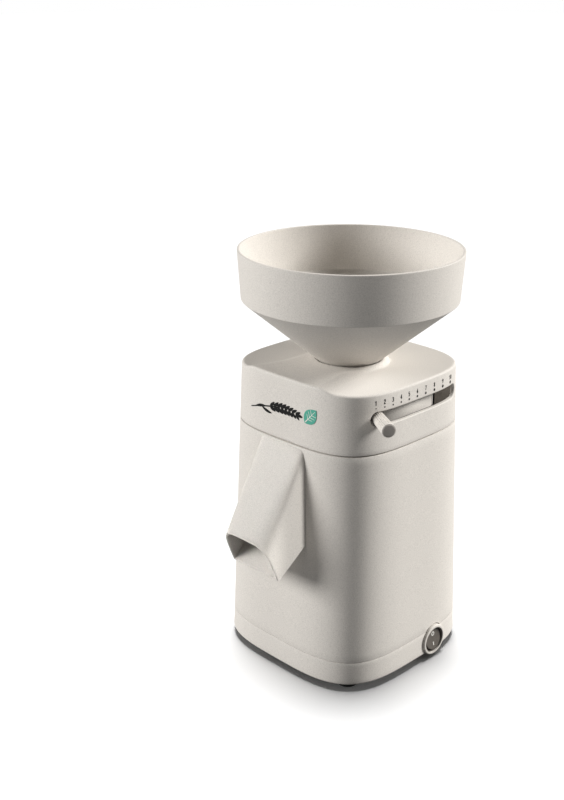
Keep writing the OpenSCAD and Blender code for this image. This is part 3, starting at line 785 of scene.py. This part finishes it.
def ring_shutter():
    """The dark, finely ribbed sector that keeps the slot covered as the ring turns."""
    ribs, per_rib = 88, 6
    span = 66.0
    sections = []
    for i in range(ribs * per_rib + 1):
        angle = LIMB_DEG + 0.2 + span * i / (ribs * per_rib)
        rib = 0.28 * abs(math.sin(math.pi * i / per_rib)) ** 0.7
        loop = band_loop(BAND_R - 0.9, BAND_R + 0.2 + rib, BAND_LOW, BAND_TOP + BAND_CLIMB, 0.2)
        sections.append((angle, loop))
    obj = swept_band("ring_shutter", sections, SHUTTER)


def slot_screen():
    """A fixed ribbed screen that closes the slot's far end, clear of the lever's last place."""
    along = Vector((math.cos(math.radians(SCREEN_DEG)), math.sin(math.radians(SCREEN_DEG))))
    side = Vector((-along.y, along.x))
    ribs, per_rib, thick, depth = 14, 8, 1.2, 0.5
    front = []
    for i in range(ribs * per_rib + 1):
        reach = lerp(SCREEN_FROM, SCREEN_TO, i / (ribs * per_rib))
        rib = depth * abs(math.sin(math.pi * i / per_rib))
        front.append(along * reach + side * (SCREEN_OFF + depth - rib))
    back = [along * SCREEN_TO + side * (SCREEN_OFF + depth + thick),
            along * SCREEN_FROM + side * (SCREEN_OFF + depth + thick)]
    rings = [[(p.x, p.y, z) for p in front + back] for z in (229.0, 258.0)]
    obj = stack("slot_screen", rings, "housing", SHUTTER, caps=True, sharp=50)
    return obj


lever_grip()
lever_end()
ring_band()
ring_shutter()
screen = slot_screen()


# ---- switch ----

def switch_bezel():
    """Round dish between the boss and the rocker."""
    back, seat, lip, core_r, bore_r = 62.5, 80.7, 89.8, 8.4, 10.75
    profile = [(0.8, back), (core_r, back), (core_r, seat), (SWITCH_R, seat)]
    profile += [(SWITCH_R, lip - 0.5), (SWITCH_R - 0.35, lip - 0.05), (SWITCH_R - 0.9, lip)]
    profile += [(bore_r + 0.25, lip - 1.2), (bore_r, lip - 1.8), (bore_r, seat + 0.7)]
    profile += [(0.8, seat + 0.7)]
    rings = bar_rings(profile, 96)
    obj = stack("switch_bezel", rings, "housing", MATERIALS["switch_plastic"], caps=True, sharp=35)
    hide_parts("switch_body")


def rocker_frame():
    return Matrix.Translation((ROCKER_X, SWITCH_Y, SWITCH_Z)) @ \
        Matrix.Rotation(math.radians(-ROCKER_TILT), 4, "Y")


def rocker_height(y, z):
    """The rocker's face: two gently dished flats that meet in a shallow valley."""
    slope = 0.9 * math.hypot(z, 0.9) / 10
    dish = 0.35 * (1 - (y / 10.4) ** 2)
    return 3.35 + slope - dish


def rocker_face():
    r, count = ROCKER_R, 96
    rings = [[(-3.0, 0.75 * r * math.cos(TAU * i / count), 0.45 * r * math.sin(TAU * i / count))
              for i in range(count)]]
    rings.append([(-1.5, r * math.cos(TAU * i / count), r * math.sin(TAU * i / count))
                  for i in range(count)])
    for k in range(6):
        a = math.pi / 2 * k / 5
        rings.append(rocker_ring(r - 0.8 * (1 - math.cos(a)), 0.8 * (1 - math.sin(a)), count))
    rings += [rocker_ring((r - 0.8) * (1 - k / 10), 0.0, count) for k in range(1, 10)]
    obj = stack("rocker_face", transformed(rings, rocker_frame()), "rocker",
                MATERIALS["switch_plastic"], caps=True, sharp=50)
    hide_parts("switch_rocker")


def rocker_ring(r, drop, count):
    ring = []
    for i in range(count):
        y, z = r * math.cos(TAU * i / count), r * math.sin(TAU * i / count)
        ring.append((rocker_height(y, z) - drop, y, z))
    return ring


def rocker_mark(name, outer, inner=None):
    """A mark lying on the rocker from an outline, or a ring between two outlines."""
    def lift(points, up):
        return [(rocker_height(y, z) + up, y, z) for y, z in points]
    if inner:
        rings = [lift(outer, -0.1), lift(outer, 0.09), lift(inner, 0.09), lift(inner, -0.1)]
    else:
        rings = [lift(outer, -0.1), lift(outer, 0.09)]
    obj = stack(name, transformed(rings, rocker_frame()), "rocker", PALE_INK,
                closed_stack=bool(inner), caps=not inner, sharp=40)


def rocker_marks():
    def ellipse(ry, rz):
        return [(ry * math.cos(TAU * i / 40), 4.9 + rz * math.sin(TAU * i / 40)) for i in range(40)]
    rocker_mark("mark_off", ellipse(2.0, 2.1), ellipse(1.15, 1.25))
    bar = [(-0.45, -6.6), (0.45, -6.6), (0.45, -3.2), (-0.45, -3.2)]
    rocker_mark("mark_on", bar)


switch_bezel()
rocker_face()
rocker_marks()


# ---- feet ----

def rubber_feet():
    for k, (x, y) in enumerate(corners(CORNER)):
        profile = rounded([(4.6, 0), (9.3, 0), (9.7, FOOT_H - 0.05), (4.6, FOOT_H - 0.05)],
                          [0.4, 1.0, 0.3, 0.2], 4)
        foot = lathe(f"rubber_foot_{k}", profile, None, MATERIALS["rubber"], 64)
        foot.data.transform(Matrix.Translation((x * MM, y * MM, 0)))
        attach(foot, "housing")
        if k == 0:
            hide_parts("feet")


rubber_feet()


# ---- printed marks, as thin raised ink that follows the face ----

def face_frame(across, z, out, face):
    """Matrix that lays a flat drawing (X across, Y up) on a face at a place."""
    h = half(z)
    deep = face_depth(across, h)
    slope = math.copysign((abs(across) / deep) ** (SQUARENESS - 1), across)
    lean = (HALF_LOW - HALF_HIGH) / (TOP_Z - FOOT_H)
    if face == "x":
        normal = Vector((1, slope, lean)).normalized()
        place = Vector((deep, across, z))
        right = Vector((-slope, 1, 0)).normalized()
    else:
        normal = Vector((slope, -1, lean)).normalized()
        place = Vector((across, -deep, z))
        right = Vector((1, slope, 0)).normalized()
    up = normal.cross(right)
    place += out * normal
    return Matrix((
        (right.x, up.x, normal.x, place.x),
        (right.y, up.y, normal.y, place.y),
        (right.z, up.z, normal.z, place.z),
        (0, 0, 0, 1)))


class Ink:
    """Collects thin slabs drawn on the housing's faces, in one mesh."""

    def __init__(self):
        self.verts, self.faces = [], []

    def slab(self, outline_points, matrix, thick=0.07, sink=0.15):
        """A flat closed outline in (across, up), raised by thick and sunk into the face."""
        n, base = len(outline_points), len(self.verts)
        for height in (-sink, thick):
            self.verts += [tuple(matrix @ Vector((x, y, height))) for x, y in outline_points]
        self.faces.append(tuple(base + i for i in reversed(range(n))))
        self.faces.append(tuple(base + n + i for i in range(n)))
        self.faces += [(base + i, base + (i + 1) % n, base + n + (i + 1) % n, base + n + i)
                       for i in range(n)]

    def piece(self, name, material):
        obj = new_mesh(name, self.verts, self.faces, "housing", material, 40)
        return obj


def stroke(points, widths):
    """Outline of a pen stroke along points, each with its own width."""
    left, right = [], []
    last = len(points) - 1
    for i, (p, w) in enumerate(zip(points, widths)):
        a, b = Vector(points[max(0, i - 1)]), Vector(points[min(last, i + 1)])
        along = (b - a).normalized()
        side = Vector((-along.y, along.x)) * w / 2
        left.append(tuple(Vector(p) + side))
        right.append(tuple(Vector(p) - side))
    return left + right[::-1]


# Numerals in a cell 1 wide and 2 high, as strokes through a few points
NUMERALS = {
    "0": [[(0.5, 2), (0.9, 1.6), (0.9, 0.4), (0.5, 0), (0.1, 0.4), (0.1, 1.6), (0.5, 2)]],
    "1": [[(0.2, 1.6), (0.55, 2), (0.55, 0)]],
    "2": [[(0.1, 1.6), (0.3, 2), (0.7, 2), (0.9, 1.5), (0.1, 0), (0.9, 0)]],
    "3": [[(0.1, 1.8), (0.5, 2), (0.9, 1.5), (0.5, 1.1), (0.9, 0.6), (0.5, 0), (0.1, 0.2)]],
    "4": [[(0.7, 0), (0.7, 2), (0.1, 0.6), (0.95, 0.6)]],
    "5": [[(0.85, 2), (0.2, 2), (0.15, 1.1), (0.6, 1.2), (0.9, 0.6), (0.5, 0), (0.1, 0.15)]],
    "6": [[(0.75, 2), (0.15, 0.8), (0.4, 0), (0.85, 0.4), (0.6, 1.1), (0.2, 0.9)]],
    "7": [[(0.1, 2), (0.9, 2), (0.4, 0)]],
    "8": [[(0.5, 1.1), (0.15, 1.6), (0.5, 2), (0.85, 1.6), (0.5, 1.1), (0.1, 0.5), (0.5, 0),
           (0.9, 0.5), (0.5, 1.1)]],
    "9": [[(0.8, 1.1), (0.4, 0.9), (0.15, 1.5), (0.5, 2), (0.85, 1.6), (0.8, 1.0), (0.4, 0)]],
}


def scale_marks():
    """Ten dots of growing size over the slot, each with its numeral."""
    ink = Ink()
    digit_w, digit_h, pen = 1.7, 3.4, 0.72
    for k in range(MARKS):
        across = MARK_START + MARK_STEP * k + MARK_GROWTH * k * k
        dot_r = lerp(0.55, 1.4, k / (MARKS - 1))
        ink.slab(round_outline(dot_r), face_frame(across, DOT_Z, 0.0, "x"))
        text = str(k + 1)
        for n, letter in enumerate(text):
            shift = (n - (len(text) - 1) / 2) * digit_w * 1.3 - digit_w / 2
            for points in NUMERALS[letter]:
                for p, q in zip(points, points[1:]):
                    run = [(shift + x * digit_w, y * digit_h / 2) for x, y in (p, q)]
                    along = (Vector(run[1]) - Vector(run[0])).normalized() * pen * 0.3
                    ends = [tuple(Vector(run[0]) - along), tuple(Vector(run[1]) + along)]
                    ink.slab(stroke(ends, [pen, pen]), face_frame(across, DIGIT_Z, 0.0, "x"))
    ink.piece("scale_marks", INK)


def kernel(cx, cy, length, width, turn, count=20):
    """A grain kernel: pointed at its far end."""
    points = []
    for i in range(count):
        a = TAU * i / count
        x = length / 2 * math.cos(a)
        y = width / 2 * math.sin(a) * (1 - 0.35 * math.cos(a))
        c, s = math.cos(turn), math.sin(turn)
        points.append((cx + x * c - y * s, cy + x * s + y * c))
    return points


def wheat_ear():
    """A generic ear of wheat lying across the front, with its stalk curling below."""
    ink = Ink()
    origin = (-9.0, 244.0)

    def place(outline_points):
        cx = sum(p[0] for p in outline_points) / len(outline_points)
        cy = sum(p[1] for p in outline_points) / len(outline_points)
        matrix = face_frame(origin[0] + cx, origin[1] + cy, 0.0, "y")
        ink.slab([(x - cx, y - cy) for x, y in outline_points], matrix)

    def spine(t):
        """The stalk's line, t 0 at its root and 1 at the ear's tip."""
        return Vector((lerp(-31, 28, t), -6.5 + 9.5 * math.sin(1.9 * t) - 2.2 * t * t))

    steps = 30
    for i in range(steps):
        t0, t1 = 0.62 * i / steps, 0.62 * (i + 1) / steps + 0.002
        p, q = spine(t0), spine(t1)
        place(stroke([tuple(p), tuple(q)], [1.0 + 0.7 * t0, 1.0 + 0.7 * t1]))
    rows = 8
    for k in range(rows):
        t = lerp(0.42, 0.93, k / (rows - 1))
        p, ahead = spine(t), spine(t + 0.02)
        turn = math.atan2(ahead.y - p.y, ahead.x - p.x)
        size = 1.0 - 0.35 * abs(k / (rows - 1) - 0.35)
        for side in (-1, 1):
            spread = side * math.radians(34)
            c = p + Vector((math.cos(turn + spread), math.sin(turn + spread))) * 4.3 * size
            place(kernel(c.x, c.y, 8.2 * size, 3.3 * size, turn + spread))
    tip, ahead = spine(0.97), spine(0.99)
    turn = math.atan2(ahead.y - tip.y, ahead.x - tip.x)
    place(kernel(tip.x + 2.2, tip.y, 7.6, 3.1, turn))
    # two blades that leave the stalk
    for t, bend, reach in ((0.1, 1, 14.0), (0.24, -1, 13.0)):
        p = spine(t)
        points, widths = [], []
        for i in range(13):
            u = i / 12
            points.append((p.x + reach * u, p.y + bend * (6.5 * u - 3.2 * u * u)))
            widths.append(0.35 + 2.3 * math.sin(math.pi * u) ** 0.8)
        for i in range(12):
            place(stroke(points[i:i + 2], widths[i:i + 2]))
    ink.piece("wheat_ear", INK)


def leaf_badge():
    """A small teal leaf inlay to the right of the ear, with a pale vein."""
    cx, cz, length, width, turn = 31.5, 247.0, 17.5, 12.5, math.radians(48)
    steps = 20

    def turned(u, v):
        return (u * math.cos(turn) - v * math.sin(turn), u * math.sin(turn) + v * math.cos(turn))

    def edge(t):
        return width / 2 * math.sin(math.pi * t ** 0.9) ** 0.85

    def at(t, side):
        return turned(length * (t - 0.5), side * edge(t))

    leaf = Ink()
    rim = [at(i / steps, 1) for i in range(steps)] + [at(1 - i / steps, -1) for i in range(steps)]
    leaf.slab(rim, face_frame(cx, cz, 0.0, "y"), 0.25, 0.6)
    obj = leaf.piece("badge_leaf", MATERIALS["badge_plastic"])
    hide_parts("badge")
    veins = Ink()
    matrix = face_frame(cx, cz, 0.2, "y")
    spine = [turned(length * (t - 0.5), 0.0) for t in (0.06, 0.9)]
    veins.slab(stroke(spine, [0.8, 0.3]), matrix, 0.14, 0.1)
    for t in (0.28, 0.44, 0.6):
        for side in (-1, 1):
            ends = [turned(length * (t - 0.5), 0.0),
                    turned(length * (t - 0.5 + 0.15), side * edge(t) * 0.72)]
            veins.slab(stroke(ends, [0.5, 0.25]), matrix, 0.13, 0.1)
    veins.piece("badge_veins", PALE_INK)


scale_marks()
wheat_ear()
leaf_badge()


# ---- carried-over nodes get the finish their slot names ----

for part in frame["record"]["subparts"]:
    node = frame["nodes"][part["node"]]
    node.data.materials.clear()
    node.data.materials.append(MATERIALS[part["material_slot"]])


# ---- stage, light and camera ----

def soft_sun(name, azimuth, elevation, level, spread, colour, only=None, but=None, blockers=()):
    """A far softbox: level is the brightness a white card facing it would show.

    It lights one object only, or all but one, when told so. Given blockers are the only
    objects that cast its shadow.
    """
    data = bpy.data.lights.new(name, "SUN")
    data.energy = level * math.pi
    data.angle = math.radians(spread)
    data.color = colour
    light = bpy.data.objects.new(name, data)
    a, e = math.radians(azimuth), math.radians(elevation)
    towards = Vector((math.cos(a) * math.cos(e), math.sin(a) * math.cos(e), math.sin(e)))
    light.rotation_euler = towards.to_track_quat("Z", "Y").to_euler()
    bpy.context.scene.collection.objects.link(light)
    if only or but:
        group = bpy.data.collections.new(name + "_receivers")
        group.objects.link(only or but)
        light.light_linking.receiver_collection = group
        if but:
            group.collection_objects[0].light_linking.link_state = "EXCLUDE"
    if blockers:
        group = bpy.data.collections.new(name + "_blockers")
        for obj in blockers:
            group.objects.link(obj)
        light.light_linking.blocker_collection = group


def floor_plane():
    """Pale paper, white to the camera but dull to the light it throws back."""
    mesh = bpy.data.meshes.new("floor")
    d = 14.0
    mesh.from_pydata([(-d, -d, 0), (d, -d, 0), (d, d, 0), (-d, d, 0)], [], [(0, 1, 2, 3)])
    floor = bpy.data.objects.new("floor", mesh)
    bpy.context.scene.collection.objects.link(floor)
    mat, tree, bsdf, vector = node_material("floor_paper")
    tone = add_ramp(tree, add_noise(tree, vector, 6, 2.0), [(0.3, 0.93), (0.7, 0.95)])
    path = tree.nodes.new("ShaderNodeLightPath")
    seen = tree.nodes.new("ShaderNodeMix")
    seen.data_type = "RGBA"
    seen.inputs["A"].default_value = rgba(0.3)
    tree.links.new(path.outputs["Is Camera Ray"], seen.inputs["Factor"])
    tree.links.new(tone, seen.inputs["B"])
    tree.links.new(seen.outputs["Result"], bsdf.inputs["Base Color"])
    bsdf.inputs["Roughness"].default_value = 0.8
    bsdf.inputs["Specular IOR Level"].default_value = 0.1
    mesh.materials.append(mat)
    return floor


def world_light(strength_camera, strength_light):
    """A white surround with one strength for the camera and another for the light."""
    world = bpy.data.worlds.new("studio")
    bpy.context.scene.world = world
    world.use_nodes = True
    tree = world.node_tree
    tree.nodes.clear()
    out = tree.nodes.new("ShaderNodeOutputWorld")
    mix = tree.nodes.new("ShaderNodeMixShader")
    path = tree.nodes.new("ShaderNodeLightPath")
    seen = tree.nodes.new("ShaderNodeBackground")
    lit = tree.nodes.new("ShaderNodeBackground")
    seen.inputs["Strength"].default_value = strength_camera
    seen.inputs["Color"].default_value = (1, 1, 1, 1)
    lit.inputs["Strength"].default_value = strength_light
    lit.inputs["Color"].default_value = (1, 0.99, 0.975, 1)
    tree.links.new(path.outputs["Is Camera Ray"], mix.inputs["Fac"])
    tree.links.new(lit.outputs["Background"], mix.inputs[1])
    tree.links.new(seen.outputs["Background"], mix.inputs[2])
    tree.links.new(mix.outputs["Shader"], out.inputs["Surface"])


def camera():
    """A viewpoint a little above the rim, off the front right corner, in metres."""
    data = bpy.data.cameras.new("camera")
    cam = bpy.data.objects.new("camera", data)
    bpy.context.scene.collection.objects.link(cam)
    data.lens = 52.31
    data.sensor_width = 36
    cam.location = (0.6473, -0.7176, 0.5901)
    pan, tilt = math.radians(45.51), math.radians(20.34)
    look = Vector((-math.sin(pan) * math.cos(tilt), math.cos(pan) * math.cos(tilt),
                   -math.sin(tilt)))
    cam.rotation_euler = look.to_track_quat("-Z", "Y").to_euler()
    bpy.context.scene.camera = cam


floor = floor_plane()
world_light(1.0, 0.05)
soft_sun("key", 52, 32, 1.66, 22, (1.0, 0.985, 0.96), but=floor)
soft_sun("side", -130, 21, 1.16, 30, (1.0, 0.99, 0.975), but=floor)
soft_sun("floor_light", 135, 82, 1.12, 20, (1.0, 1.0, 1.0), only=floor, blockers=shells)
soft_sun("cheek_light", 16, 4, 0.8, 12, (1.0, 0.985, 0.96), only=hood)
soft_sun("slot_light", -38, 15, 0.36, 8, (1.0, 0.98, 0.95), only=screen, blockers=[floor])
soft_sun("floor_fill", 140, 80, 0.1, 60, (1.0, 1.0, 1.0), only=floor, blockers=[floor])
camera()
bpy.context.scene.view_settings.view_transform = "Standard"
